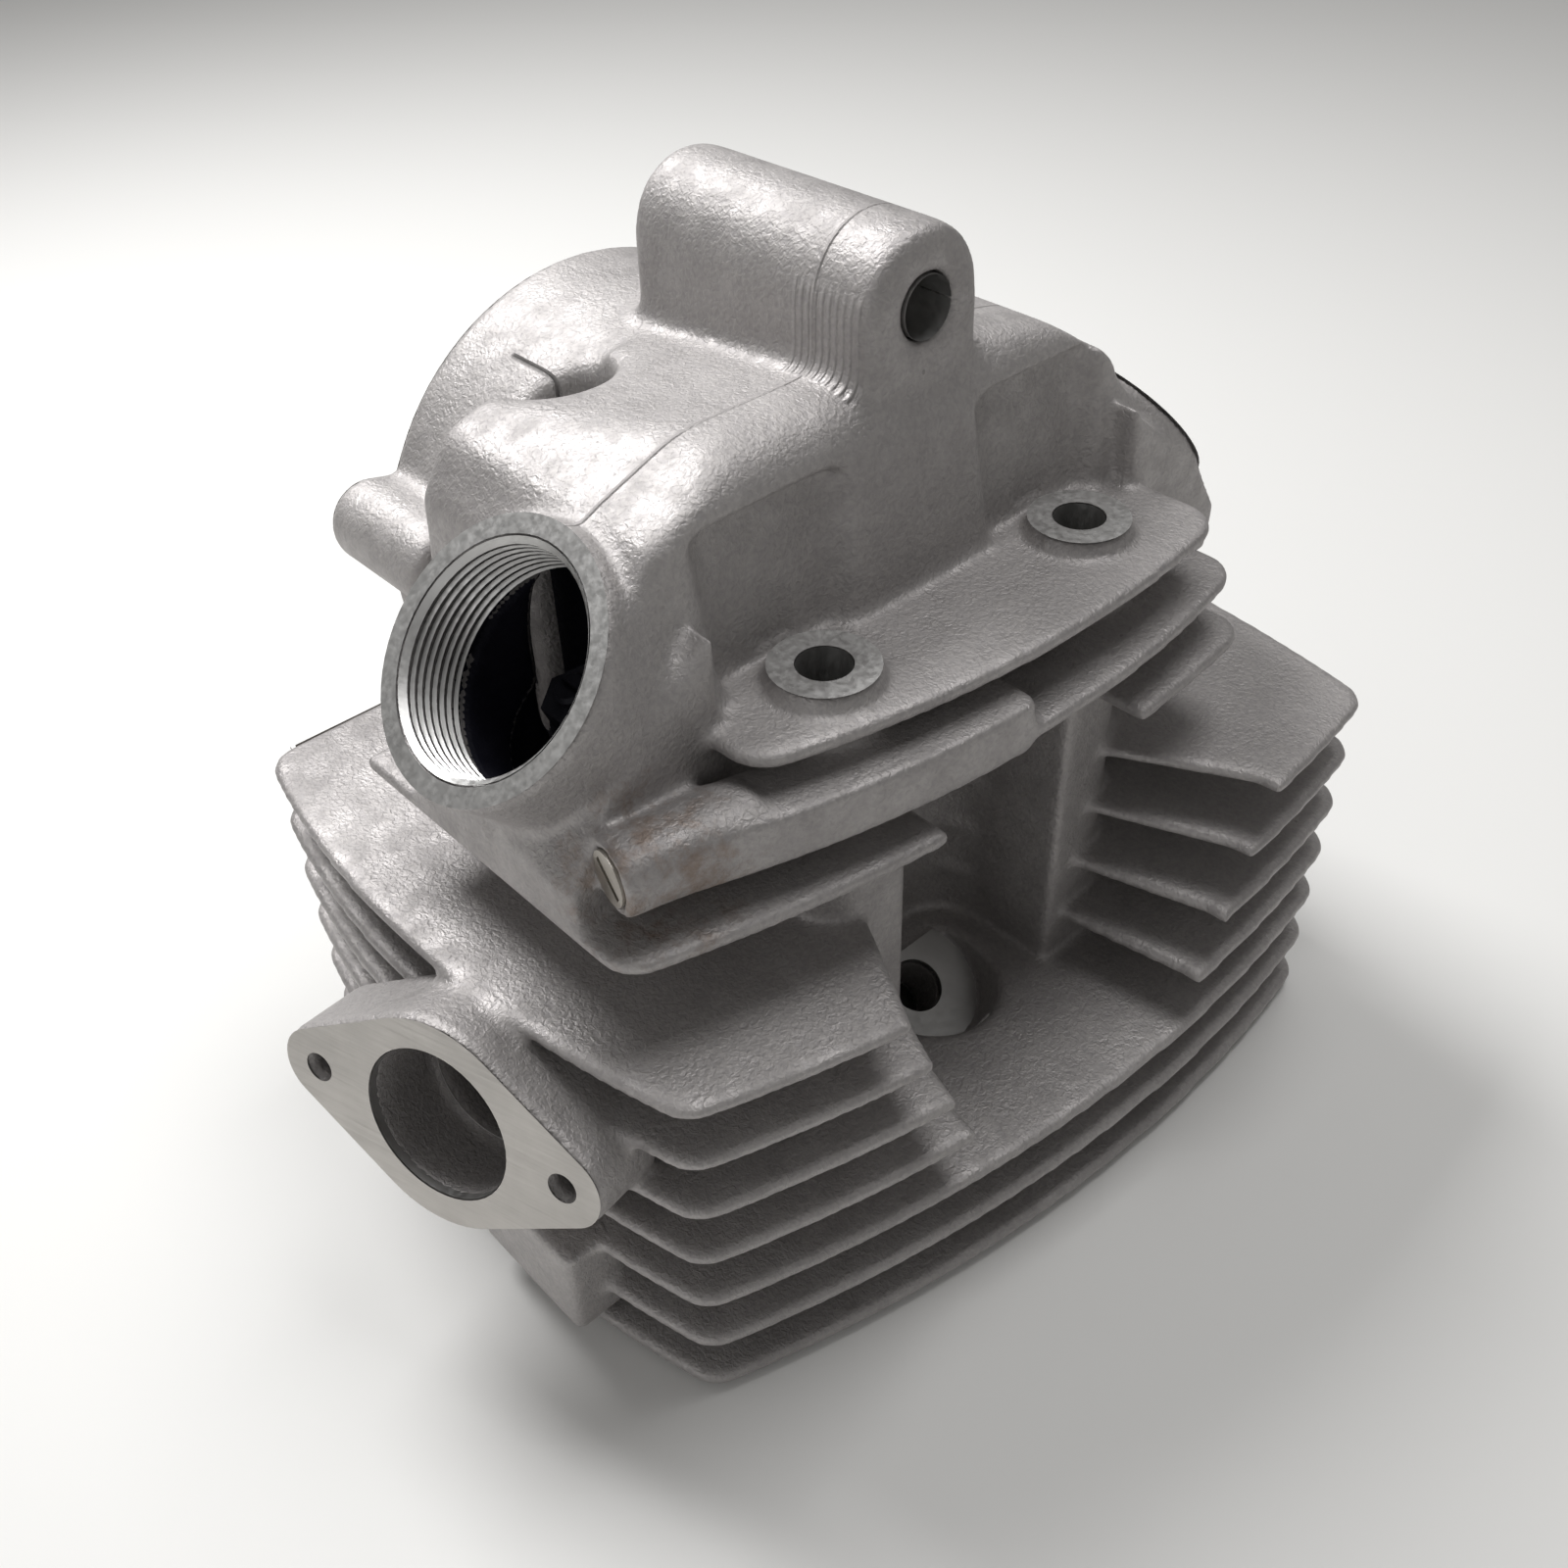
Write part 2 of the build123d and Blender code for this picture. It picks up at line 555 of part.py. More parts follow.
def make_rocker(s):
    hub = (s * ROCKER_Y, ROCKER_Z)
    beta = radians(pad_angle())
    lift = (-s * (PAD_R + 0.2) * sin(beta), (PAD_R + 0.2) * cos(beta))
    low, high = valve_at(s, VALVE_LEN + 6.5), valve_at(s, VALVE_LEN + 10.5)
    with BuildPart() as rocker:
        with BuildSketch(x_plane(HUB_X0)):
            with Locations(hub):
                Circle(HUB_R)
        extrude(amount=HUB_X1 - HUB_X0)
        # arm to the adjuster
        with BuildSketch(x_plane(VALVE_X - 4)):
            with Locations(hub):
                Circle(6.5)
            with Locations((low.Y, low.Z), (high.Y, high.Z)):
                Circle(2.6)
            make_hull()
        extrude(amount=8)
        with BuildSketch(valve_plane(s, VALVE_LEN + 4)):
            Circle(6.2)
        extrude(amount=9)
        # arm to the cam pad
        with BuildSketch(x_plane(LOBE_X[s] - LOBE_W / 2 + 0.5)):
            with Locations(pad_centre(s), (hub[0] + lift[0], hub[1] + lift[1])):
                Circle(PAD_R)
            make_hull()
        extrude(amount=LOBE_W - 1)
        with BuildSketch(x_plane(HUB_X0)):
            with Locations(hub):
                Circle(ROCKER_SHAFT_R + FIT)
        extrude(amount=HUB_X1 - HUB_X0, mode=Mode.SUBTRACT)
        with BuildSketch(valve_plane(s, VALVE_LEN)):
            Circle(ADJUSTER_R)
        extrude(amount=20, mode=Mode.SUBTRACT)
        with BuildSketch(valve_plane(s, VALVE_LEN + 13)):
            Circle(7)
        extrude(amount=12, mode=Mode.SUBTRACT)
    save(rocker.part, f"{SIDES[s]}_rocker_arm")


def make_adjuster(s):
    """Adjusting screw with a ball tip and a slot, and its lock nut."""
    tip, top = VALVE_LEN + LASH, VALVE_LEN + 19.5
    rise = TIP_R - sqrt(TIP_R**2 - ADJUSTER_R**2)
    middle = (ADJUSTER_R / 2, tip + TIP_R - sqrt(TIP_R**2 - ADJUSTER_R**2 / 4))
    with BuildPart() as screw:
        with BuildSketch(valve_section(s)):
            with BuildLine():
                ThreePointArc((0, tip), middle, (ADJUSTER_R, tip + rise))
                Polyline((ADJUSTER_R, tip + rise), (ADJUSTER_R, top - 0.6), (ADJUSTER_R - 0.6, top),
                         (0, top), (0, tip))
            make_face()
        revolve(axis=valve_axis(s))
        with BuildSketch(valve_plane(s, top - 1.6)):
            Rectangle(8, 0.9)
        extrude(amount=2, mode=Mode.SUBTRACT)
    save(screw.part, f"{SIDES[s]}_adjuster_screw")
    with BuildPart() as nut:
        with BuildSketch(valve_plane(s, VALVE_LEN + 13)):
            RegularPolygon(5.0, 6, major_radius=False)
            Circle(ADJUSTER_R, mode=Mode.SUBTRACT)
        extrude(amount=4.5)
    save(nut.part, f"{SIDES[s]}_adjuster_lock_nut")


def make_rocker_shaft(s):
    with BuildPart() as shaft:
        with BuildSketch(x_plane(WEB_X0)):
            with Locations((s * ROCKER_Y, ROCKER_Z)):
                Circle(ROCKER_SHAFT_R)
        extrude(amount=SHAFT_X1 - WEB_X0)
        chamfer(edges().filter_by(GeomType.CIRCLE), 0.5)
    save(shaft.part, f"{SIDES[s]}_rocker_shaft")


for s in SIDES:
    make_valve(s)
    make_valve_fittings(s)
    make_collets(s)
    make_spring(s, 11.6, 1.7, 4.0, f"{SIDES[s]}_outer_spring")
    make_spring(s, 8.1, 1.05, 5.0, f"{SIDES[s]}_inner_spring")
    make_rocker(s)
    make_adjuster(s)
    make_rocker_shaft(s)


# ---------------------------------------------------------------- camshaft and its drive
def lobe_points(s):
    """Nose of a cam lobe: cosine lift over the lobe's half angle either side of its peak."""
    peak = radians(-s * (pad_angle() + LOBE_TRAIL))
    points = []
    for k in range(LOBE_STEPS + 1):
        t = -1 + 2 * k / LOBE_STEPS
        r = CAM_BASE_R + CAM_LIFT * cos(pi / 2 * t) ** 2
        beta = peak + radians(CAM_HALF_ANGLE) * t
        points.append((r * sin(beta), CAM_Z + r * cos(beta)))
    return points


with BuildPart() as camshaft:
    for x0, x1, r in (
        (SPROCKET_X, -47.0, 14.0),
        (-47.0, WEB_X1, CAM_JOURNAL_R),
        (WEB_X1, WEB_X1 + 2, 12.4),
        (WEB_X1 + 2, CAVITY_X1 - 1, CAM_SHAFT_R),
        (CAVITY_X1 - 1, 27.5, CAM_TAIL_R),
        (SPROCKET_X - 3.1, SPROCKET_X, 7.0),
    ):
        with BuildSketch(x_plane(x0)):
            with Locations((0, CAM_Z)):
                Circle(r)
        extrude(amount=x1 - x0)
    for s in SIDES:
        with BuildSketch(x_plane(LOBE_X[s] - LOBE_W / 2)):
            with Locations((0, CAM_Z)):
                Circle(CAM_BASE_R)
            with BuildLine():
                nose = lobe_points(s)
                Spline(*nose)
                Polyline(nose[-1], (0, CAM_Z), nose[0])
            make_face()
        extrude(amount=LOBE_W)
    with BuildSketch(x_plane(SPROCKET_X)):
        with Locations((0, CAM_Z)):
            with PolarLocations(10.5, 2, start_angle=90):
                Circle(SPROCKET_BOLT_R)
    extrude(amount=3.5, mode=Mode.SUBTRACT)
    with BuildSketch(x_plane(-40)):
        with Locations((0, CAM_Z)):
            Circle(3)
    extrude(amount=68, mode=Mode.SUBTRACT)
save(camshaft.part, "camshaft")

with BuildPart() as sprocket:
    pitch_r = CHAIN_PITCH / (2 * sin(pi / SPROCKET_TEETH))
    with BuildSketch(x_plane(SPROCKET_X - SPROCKET_T)):
        with Locations((0, CAM_Z)):
            Circle(pitch_r + 1.9)
            Circle(7.04, mode=Mode.SUBTRACT)
            with PolarLocations(pitch_r, SPROCKET_TEETH):
                Circle(ROLLER_R, mode=Mode.SUBTRACT)
            with PolarLocations(22.5, 4, start_angle=45):
                Circle(6.5, mode=Mode.SUBTRACT)
            with PolarLocations(10.5, 2, start_angle=90):
                Circle(SPROCKET_BOLT_R, mode=Mode.SUBTRACT)
    extrude(amount=SPROCKET_T)
save(sprocket.part, "cam_sprocket")

with BuildPart() as sprocket_bolts:
    with BuildSketch(x_plane(SPROCKET_X - SPROCKET_T - 4)):
        with Locations((0, CAM_Z)):
            with PolarLocations(10.5, 2, start_angle=90):
                RegularPolygon(4.0, 6, major_radius=False)
    extrude(amount=4)
    with BuildSketch(x_plane(SPROCKET_X - SPROCKET_T)):
        with Locations((0, CAM_Z)):
            with PolarLocations(10.5, 2, start_angle=90):
                Circle(SPROCKET_BOLT_R)
    extrude(amount=SPROCKET_T + 3.4)
save(sprocket_bolts.part, "sprocket_bolts")

# ball bearing on the camshaft's chain end
bearing_x = WEB_X1 - BEARING_W / 2
bearing_plane = Plane(origin=(bearing_x, 0, CAM_Z), x_dir=(0, 1, 0), z_dir=(0, 0, 1))
bearing_axis = Axis((0, 0, CAM_Z), (1, 0, 0))
ball_dirs = [
    Vector(0, cos(2 * pi * (k + 0.3) / BALLS), sin(2 * pi * (k + 0.3) / BALLS)) for k in range(BALLS)
]
bearing_centre = Vector(bearing_x, 0, CAM_Z)
for label, r0, r1 in (
    ("bearing_inner_ring", CAM_JOURNAL_R, 13.4),
    ("bearing_outer_ring", 17.6, BEARING_R),
):
    with BuildPart() as ring:
        with BuildSketch(bearing_plane):
            with Locations(((r0 + r1) / 2, 0)):
                Rectangle(r1 - r0, BEARING_W)
            with Locations((BALL_PITCH_R, 0)):
                Circle(BALL_R + 0.05, mode=Mode.SUBTRACT)
        revolve(axis=bearing_axis)
    save(ring.part, label)

with BuildPart() as cage:
    with BuildSketch(x_plane(bearing_x - 4)):
        with Locations((0, CAM_Z)):
            Circle(BALL_PITCH_R + 0.8)
            Circle(BALL_PITCH_R - 0.8, mode=Mode.SUBTRACT)
    extrude(amount=8)
    for d in ball_dirs:
        with BuildSketch(Plane(origin=bearing_centre + d * (BALL_PITCH_R - 3), z_dir=d)):
            Circle(BALL_R + 0.1)
        extrude(amount=6, mode=Mode.SUBTRACT)
save(cage.part, "bearing_cage")

with BuildPart() as balls:
    with Locations(*[bearing_centre + d * BALL_PITCH_R for d in ball_dirs]):
        Sphere(BALL_R)
save(balls.part, "bearing_balls")

# ---------------------------------------------------------------- small fixed pieces
with BuildPart() as retainer_plate:
    with BuildSketch(x_plane(WEB_X0 - 2)):
        with Locations((-ROCKER_Y, ROCKER_Z), (ROCKER_Y, ROCKER_Z)):
            Circle(5)
        with Locations((0, SCREW_Z)):
            Circle(5.5)
        make_hull()
        with Locations((0, SCREW_Z)):
            Circle(2.5, mode=Mode.SUBTRACT)
    extrude(amount=2)
save(retainer_plate.part, "rocker_shaft_retainer")

with BuildPart() as retainer_screw:
    with BuildSketch(x_plane(WEB_X0 - 5.5)):
        with Locations((0, SCREW_Z)):
            RegularPolygon(4.0, 6, major_radius=False)
    extrude(amount=3.5)
    with BuildSketch(x_plane(WEB_X0 - 2)):
        with Locations((0, SCREW_Z)):
            Circle(2.5)
    extrude(amount=10)
save(retainer_screw.part, "retainer_screw")

with BuildPart() as oil_plug:
    with BuildSketch(gallery_plane):
        Circle(GALLERY_BORE_R + 0.9)
    extrude(amount=5)
    with BuildSketch(gallery_plane):
        Rectangle(7, 1.2, rotation=35)
    extrude(amount=1, mode=Mode.SUBTRACT)
save(oil_plug.part, "oil_gallery_plug")
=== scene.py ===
import json
import math

import bpy
import numpy as np
from mathutils import Matrix, Vector


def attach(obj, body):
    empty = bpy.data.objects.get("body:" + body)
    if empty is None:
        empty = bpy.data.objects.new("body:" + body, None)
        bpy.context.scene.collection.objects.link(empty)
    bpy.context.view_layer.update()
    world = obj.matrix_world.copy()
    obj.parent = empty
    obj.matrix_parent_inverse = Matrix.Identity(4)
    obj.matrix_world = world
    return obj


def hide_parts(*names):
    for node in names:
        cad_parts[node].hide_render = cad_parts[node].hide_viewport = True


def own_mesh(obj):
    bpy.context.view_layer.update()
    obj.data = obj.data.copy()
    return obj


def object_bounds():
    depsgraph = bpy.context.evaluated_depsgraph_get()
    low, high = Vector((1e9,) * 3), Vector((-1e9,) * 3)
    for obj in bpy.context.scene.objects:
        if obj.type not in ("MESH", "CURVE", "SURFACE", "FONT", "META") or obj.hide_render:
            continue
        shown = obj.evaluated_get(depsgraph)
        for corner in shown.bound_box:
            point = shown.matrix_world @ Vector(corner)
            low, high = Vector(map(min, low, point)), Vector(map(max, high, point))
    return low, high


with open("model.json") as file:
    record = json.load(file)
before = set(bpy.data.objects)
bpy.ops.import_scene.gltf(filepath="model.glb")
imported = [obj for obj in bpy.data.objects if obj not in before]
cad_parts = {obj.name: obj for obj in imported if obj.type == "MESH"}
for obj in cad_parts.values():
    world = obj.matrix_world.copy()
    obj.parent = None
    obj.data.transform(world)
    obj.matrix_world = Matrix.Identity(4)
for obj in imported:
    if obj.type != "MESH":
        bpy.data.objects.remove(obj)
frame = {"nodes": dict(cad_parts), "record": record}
size_at_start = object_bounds()

MM = 0.001

# ---------------------------------------------------------------- places on the head, in millimetres
SIDES = {"intake": -1, "exhaust": 1}
MOUNTS = {m["name"]: m for m in frame["record"]["mounts"]}
VALVE_TILT = math.radians(22)
VALVE_FOOT = (2.0, 15.5, 16.0)
SPRING_H0, SPRING_H1 = 57.6, 80.4
STUDS = [(x, y) for x in (-31, 31) for y in (-30, 30)]
STUD_HOLE_R = 4.4
SPOTFACE_Z, SPOTFACE_R = 123.0, 9.6
CUTTER_R, CUTTER_TOP = 11.0, 132.5
CAP_RING_R, CAP_BORE_R, CAP_MOUTH = 21.9, 17.2, 1.2
PLUG_SEAT, PLUG_SEAT_R, PLUG_HOLE_R, PLUG_DEPTH = (25.2, 0.0, 25.4), 13.6, 5.5, 16
COVER_FACE_X = -67
LUG, LUG_HOLE_R = (4.7, 163.6), 5


def axis_of(name):
    return np.array(MOUNTS[name]["axis"], float)


def crest_length(side):
    """Length of a tappet opening's thread, from its first crest to its last."""
    return MOUNTS[f"{side}_tappet_opening"]["dims"]["length_mm"]


def wall_end(side):
    """Depth at which a tappet opening's thread ends, one groove past its last crest."""
    return CAP_MOUTH + crest_length(side) + 1.3


def rim(side):
    """Centre of a tappet opening's outer face."""
    middle = np.array(MOUNTS[f"{side}_tappet_opening"]["pos_m"], float) / MM
    return middle + axis_of(f"{side}_tappet_opening") * (CAP_MOUTH + crest_length(side) / 2)


def stem(side):
    """Unit vector up a valve."""
    return np.array([0, SIDES[side] * math.sin(VALVE_TILT), math.cos(VALVE_TILT)])


def foot(side):
    """Centre of a valve's lower end."""
    return np.array([VALVE_FOOT[0], SIDES[side] * VALVE_FOOT[1], VALVE_FOOT[2]])


def cutter_reach(x):
    """Radius of the flat cut round a stud hole; the plug side was cut wider."""
    return CUTTER_R if x > 0 else SPOTFACE_R


# each port: centre and axis of its face, the face's reach, and the turned bore's radius and depth
PORTS = (
    ((14.4, -100.3, 60.9), axis_of("intake_port"), 34, 13.95, 15.2),
    ((2.0, 93.0, 40.0), np.array([0, 1.0, 0]), 38, 12.1, 20.2),
)


# ---------------------------------------------------------------- materials
X, Y, Z = 0, 1, 2


def new_material(name):
    mat = bpy.data.materials.new(name)
    mat.use_nodes = True
    nodes, links = mat.node_tree.nodes, mat.node_tree.links
    return mat, nodes, links, nodes["Principled BSDF"]


def noise(nodes, links, coords, scale, detail=4.0, rough=0.55, distortion=0.0):
    tex = nodes.new("ShaderNodeTexNoise")
    tex.inputs["Scale"].default_value = scale
    tex.inputs["Detail"].default_value = detail
    tex.inputs["Roughness"].default_value = rough
    tex.inputs["Distortion"].default_value = distortion
    links.new(coords, tex.inputs["Vector"])
    return tex.outputs["Fac"]


def ramp(nodes, links, fac, stops):
    """Colour ramp; each stop is (position, (r, g, b))."""
    node = nodes.new("ShaderNodeValToRGB")
    items = node.color_ramp.elements
    while len(items) < len(stops):
        items.new(0.5)
    for item, (pos, rgb) in zip(items, stops):
        item.position = pos
        item.color = (*rgb, 1)
    links.new(fac, node.inputs["Fac"])
    return node.outputs["Color"]


def value_map(nodes, links, fac, low, high, out_low, out_high):
    node = nodes.new("ShaderNodeMapRange")
    for key, v in zip(("From Min", "From Max", "To Min", "To Max"), (low, high, out_low, out_high)):
        node.inputs[key].default_value = v
    links.new(fac, node.inputs["Value"])
    return node.outputs["Result"]


def mix_colour(nodes, links, fac, a, b, mode="MIX"):
    node = nodes.new("ShaderNodeMix")
    node.data_type = "RGBA"
    node.blend_type = mode
    for value, socket in ((fac, node.inputs[0]), (a, node.inputs[6]), (b, node.inputs[7])):
        if isinstance(value, (int, float)):
            socket.default_value = value
        elif isinstance(value, tuple):
            socket.default_value = (*value, 1)
        else:
            links.new(value, socket)
    return node.outputs[2]


def bump(nodes, links, height, strength, distance, normal=None):
    node = nodes.new("ShaderNodeBump")
    node.inputs["Strength"].default_value = strength
    node.inputs["Distance"].default_value = distance
    links.new(height, node.inputs["Height"])
    if normal is not None:
        links.new(normal, node.inputs["Normal"])
    return node.outputs["Normal"]


def object_coords(nodes):
    return nodes.new("ShaderNodeTexCoord").outputs["Object"]


def position_mask(nodes, links, spans):
    """1 where every given coordinate, in metres, lies in its span, with soft ends."""
    parts = nodes.new("ShaderNodeSeparateXYZ")
    links.new(object_coords(nodes), parts.inputs["Vector"])
    mask = None
    for axis, low, high, soft in spans:
        for edge, sign in ((low, 1), (high, -1)):
            if edge is None:
                continue
            step = value_map(nodes, links, parts.outputs[axis], edge, edge + sign * soft, 0, 1)
            mask = step if mask is None else maths(nodes, links, "MULTIPLY", mask, step)
    return mask


def maths(nodes, links, operation, a, b=0.0):
    node = nodes.new("ShaderNodeMath")
    node.operation = operation
    for value, socket in ((a, node.inputs[0]), (b, node.inputs[1])):
        if isinstance(value, (int, float)):
            socket.default_value = value
        else:
            links.new(value, socket)
    return node.outputs[0]


def coordinate(nodes, links, axis):
    parts = nodes.new("ShaderNodeSeparateXYZ")
    links.new(object_coords(nodes), parts.inputs["Vector"])
    return parts.outputs[axis]


def ridge(nodes, links, axis, at, width):
    """1 on the plane where one coordinate equals 'at', falling to 0 half a width away."""
    offset = maths(nodes, links, "SUBTRACT", coordinate(nodes, links, axis), at)
    away = maths(nodes, links, "ABSOLUTE", offset)
    return value_map(nodes, links, away, 0.0, width / 2, 1.0, 0.0)


def spot(nodes, links, centre, low, high):
    """1 within 'low' of a point, 0 past 'high'."""
    node = nodes.new("ShaderNodeVectorMath")
    node.operation = "DISTANCE"
    links.new(object_coords(nodes), node.inputs[0])
    node.inputs[1].default_value = centre
    return value_map(nodes, links, node.outputs["Value"], low, high, 1.0, 0.0)


def cast_material(name, dark, light, grain=1.0, metal=0.6, rough=(0.5, 0.66)):
    """Shot-blasted sand casting: even grey, pebbly grain, a few dark pores."""
    mat, nodes, links, shader = new_material(name)
    at = object_coords(nodes)
    fine = noise(nodes, links, at, 2300, 2.0, 0.6)
    pebbles = noise(nodes, links, at, 1150, 2.0, 0.45, 0.6)
    swell = noise(nodes, links, at, 210, 2.0, 0.5)
    cloud = noise(nodes, links, at, 30, 3.0, 0.5)
    pores = noise(nodes, links, at, 420, 1.0, 0.4)
    base = ramp(nodes, links, cloud, [(0.35, dark), (0.65, light)])
    speck = ramp(nodes, links, pebbles, [(0.3, (0.86, 0.86, 0.87)), (0.68, (1.07, 1.07, 1.06))])
    base = mix_colour(nodes, links, 0.8, base, speck, "MULTIPLY")
    pore_mask = value_map(nodes, links, pores, 0.17, 0.15, 0.0, 0.4)
    base = mix_colour(nodes, links, pore_mask, base, (0.10, 0.09, 0.09))
    links.new(value_map(nodes, links, swell, 0.35, 0.65, *rough), shader.inputs["Roughness"])
    shader.inputs["Metallic"].default_value = metal
    normal = bump(nodes, links, swell, 0.22 * grain, 0.0007)
    normal = bump(nodes, links, pebbles, 0.75 * grain, 0.00028, normal)
    normal = bump(nodes, links, fine, 0.45 * grain, 0.0001, normal)
    return mat, nodes, links, shader, base, normal


def finish_material(mat, links, shader, base, normal):
    links.new(base, shader.inputs["Base Color"])
    links.new(normal, shader.inputs["Normal"])
    return mat


def head_material():
    """The casting's skin: parting line, tooling marks on the lug, and stains near the gallery plug."""
    mat, nodes, links, shader, base, normal = cast_material(
        "cast_aluminium", (0.36, 0.342, 0.338), (0.44, 0.42, 0.414)
    )
    # parting line over the box from the tappet opening to the lug, and a slot mark on the dome
    seam = ridge(nodes, links, X, 0.0058, 0.0009)
    over_box = position_mask(nodes, links, [(Y, -0.062, 0.06, 0.002), (Z, 0.125, None, 0.004)])
    seam = maths(nodes, links, "MULTIPLY", seam, over_box)
    slot = ridge(nodes, links, Y, -0.0245, 0.0011)
    on_dome = position_mask(nodes, links, [(X, -0.052, -0.031, 0.0008), (Z, 0.12, None, 0.004)])
    slot = maths(nodes, links, "MULTIPLY", slot, on_dome)
    # ribs left by the tool on both sides of the lug's plug end
    wave = maths(nodes, links, "SINE", maths(nodes, links, "MULTIPLY", coordinate(nodes, links, X), 4200.0))
    wave = value_map(nodes, links, wave, -0.6, 0.9, 0.0, 1.0)
    on_lug = position_mask(
        nodes, links, [(X, 0.001, 0.0168, 0.0012), (Y, -0.0105, 0.02, 0.0008), (Z, 0.1495, 0.168, 0.002)]
    )
    ribs = maths(nodes, links, "MULTIPLY", wave, on_lug)
    marks = maths(nodes, links, "ADD", maths(nodes, links, "MULTIPLY", seam, 1.6), ribs)
    marks = maths(nodes, links, "SUBTRACT", marks, maths(nodes, links, "MULTIPLY", slot, 2.0))
    normal = bump(nodes, links, marks, 0.7, 0.0004, normal)
    # painted shade in the slot: the groove is darkened towards near black
    base = mix_colour(nodes, links, maths(nodes, links, "MULTIPLY", slot, 0.75), base, (0.07, 0.065, 0.065))
    # brown stains round the gallery plug and along the gallery
    blot = noise(nodes, links, object_coords(nodes), 190, 5.0, 0.7)
    near = spot(nodes, links, (0.036, -0.068, 0.106), 0.010, 0.034)
    stain = value_map(nodes, links, maths(nodes, links, "MULTIPLY", blot, near), 0.42, 0.62, 0.0, 0.6)
    base = mix_colour(nodes, links, stain, base, (0.20, 0.13, 0.085))
    # painted shade of a small dent beside the gallery, drawn only as a dark spot
    dent = spot(nodes, links, (0.0235, -0.0745, 0.1035), 0.0006, 0.0019)
    base = mix_colour(nodes, links, maths(nodes, links, "MULTIPLY", dent, 0.8), base, (0.07, 0.06, 0.06))
    return finish_material(mat, links, shader, base, normal)


def painted_shade_material():
    """Painted shade for the oiled inside: almost black with a blue cast, darker than the metal itself."""
    mat, nodes, links, shader, base, normal = cast_material(
        "painted_shade_interior", (0.006, 0.006, 0.014), (0.012, 0.012, 0.024), 0.4, 0.2
    )
    return finish_material(mat, links, shader, base, normal)


def machined_material(name, colour, rough, line_scale, stretched):
    """Turned or milled face: fine tool lines, finer along an axis whose scale in 'stretched' is higher."""
    mat, nodes, links, shader = new_material(name)
    at = object_coords(nodes)
    stretch = nodes.new("ShaderNodeMapping")
    stretch.inputs["Scale"].default_value = stretched
    links.new(at, stretch.inputs["Vector"])
    lines = noise(nodes, links, stretch.outputs["Vector"], line_scale, 3.0, 0.6)
    cloud = noise(nodes, links, at, 90, 4.0, 0.6)
    low = tuple(c * 0.86 for c in colour)
    base = ramp(nodes, links, cloud, [(0.3, low), (0.7, colour)])
    links.new(base, shader.inputs["Base Color"])
    shader.inputs["Metallic"].default_value = 0.95
    sheen = value_map(nodes, links, lines, 0.3, 0.7, rough * 0.8, rough * 1.3)
    links.new(sheen, shader.inputs["Roughness"])
    links.new(bump(nodes, links, lines, 0.22, 0.0001), shader.inputs["Normal"])
    return mat


def steel_material(name, dark, light, rough, metal=0.9, shine=0.5):
    """Oiled or ground steel with faint mottling."""
    mat, nodes, links, shader = new_material(name)
    at = object_coords(nodes)
    cloud = noise(nodes, links, at, 120, 5.0, 0.6)
    fine = noise(nodes, links, at, 1200, 2.0, 0.5)
    links.new(ramp(nodes, links, cloud, [(0.3, dark), (0.7, light)]), shader.inputs["Base Color"])
    shader.inputs["Metallic"].default_value = metal
    shader.inputs["Specular IOR Level"].default_value = shine
    sheen = value_map(nodes, links, cloud, 0.3, 0.7, rough * 0.8, rough * 1.25)
    links.new(sheen, shader.inputs["Roughness"])
    links.new(bump(nodes, links, fine, 0.15, 0.00008), shader.inputs["Normal"])
    return mat


CAST = head_material()
# near-black material, painted shade for the casting's inside walls
PAINTED_SHADE = painted_shade_material()
TURNED = machined_material("turned_aluminium", (0.62, 0.615, 0.605), 0.38, 900, (1, 1, 1))
MILLED = machined_material("milled_aluminium", (0.50, 0.48, 0.455), 0.42, 520, (0.15, 0.15, 5))
# near-black steel for the parts inside the head: dark oiled steel, darkened further as painted shade of the
# cavity
BLACKENED_AND_SHADED = ((0.010, 0.010, 0.014), (0.022, 0.022, 0.028))
STEEL = {
    "valve_steel": steel_material("valve_steel", (0.20, 0.19, 0.18), (0.36, 0.35, 0.34), 0.35),
    "dark_steel": steel_material("dark_steel", *BLACKENED_AND_SHADED, 0.55, 0.3, 0.15),
    "spring_steel": steel_material("spring_steel", *BLACKENED_AND_SHADED, 0.5, 0.3, 0.2),
    "ground_steel": steel_material("ground_steel", (0.30, 0.30, 0.31), (0.46, 0.46, 0.47), 0.25),
    "oiled_steel": steel_material("oiled_steel", *BLACKENED_AND_SHADED, 0.5, 0.3, 0.15),
    "iron": steel_material("turned_iron", (0.07, 0.07, 0.07), (0.15, 0.15, 0.15), 0.5),
    "seal_rubber": steel_material("seal_rubber", (0.012, 0.012, 0.012), (0.02, 0.02, 0.02), 0.8, 0.0),
    "plug_steel": steel_material("plug_steel", (0.34, 0.31, 0.27), (0.58, 0.55, 0.50), 0.35),
}
SLOT_OF = {p["node"]: p["material_slot"] for p in frame["record"]["subparts"]}
for node, obj in frame["nodes"].items():
    if SLOT_OF[node] in STEEL:
        # rocker shafts and camshaft get the near-black oiled_steel coat instead of their own slot's steel,
        # as painted shade of the cavity
        oiled_and_shaded = node.endswith("rocker_shaft") or node == "camshaft"
        coat = "oiled_steel" if oiled_and_shaded else SLOT_OF[node]
        obj.data.materials.clear()
        obj.data.materials.append(STEEL[coat])


# ---------------------------------------------------------------- the casting's regions
AS_CAST, TURNED_FACE, BASE_FACE, PORT_FACE = range(4)


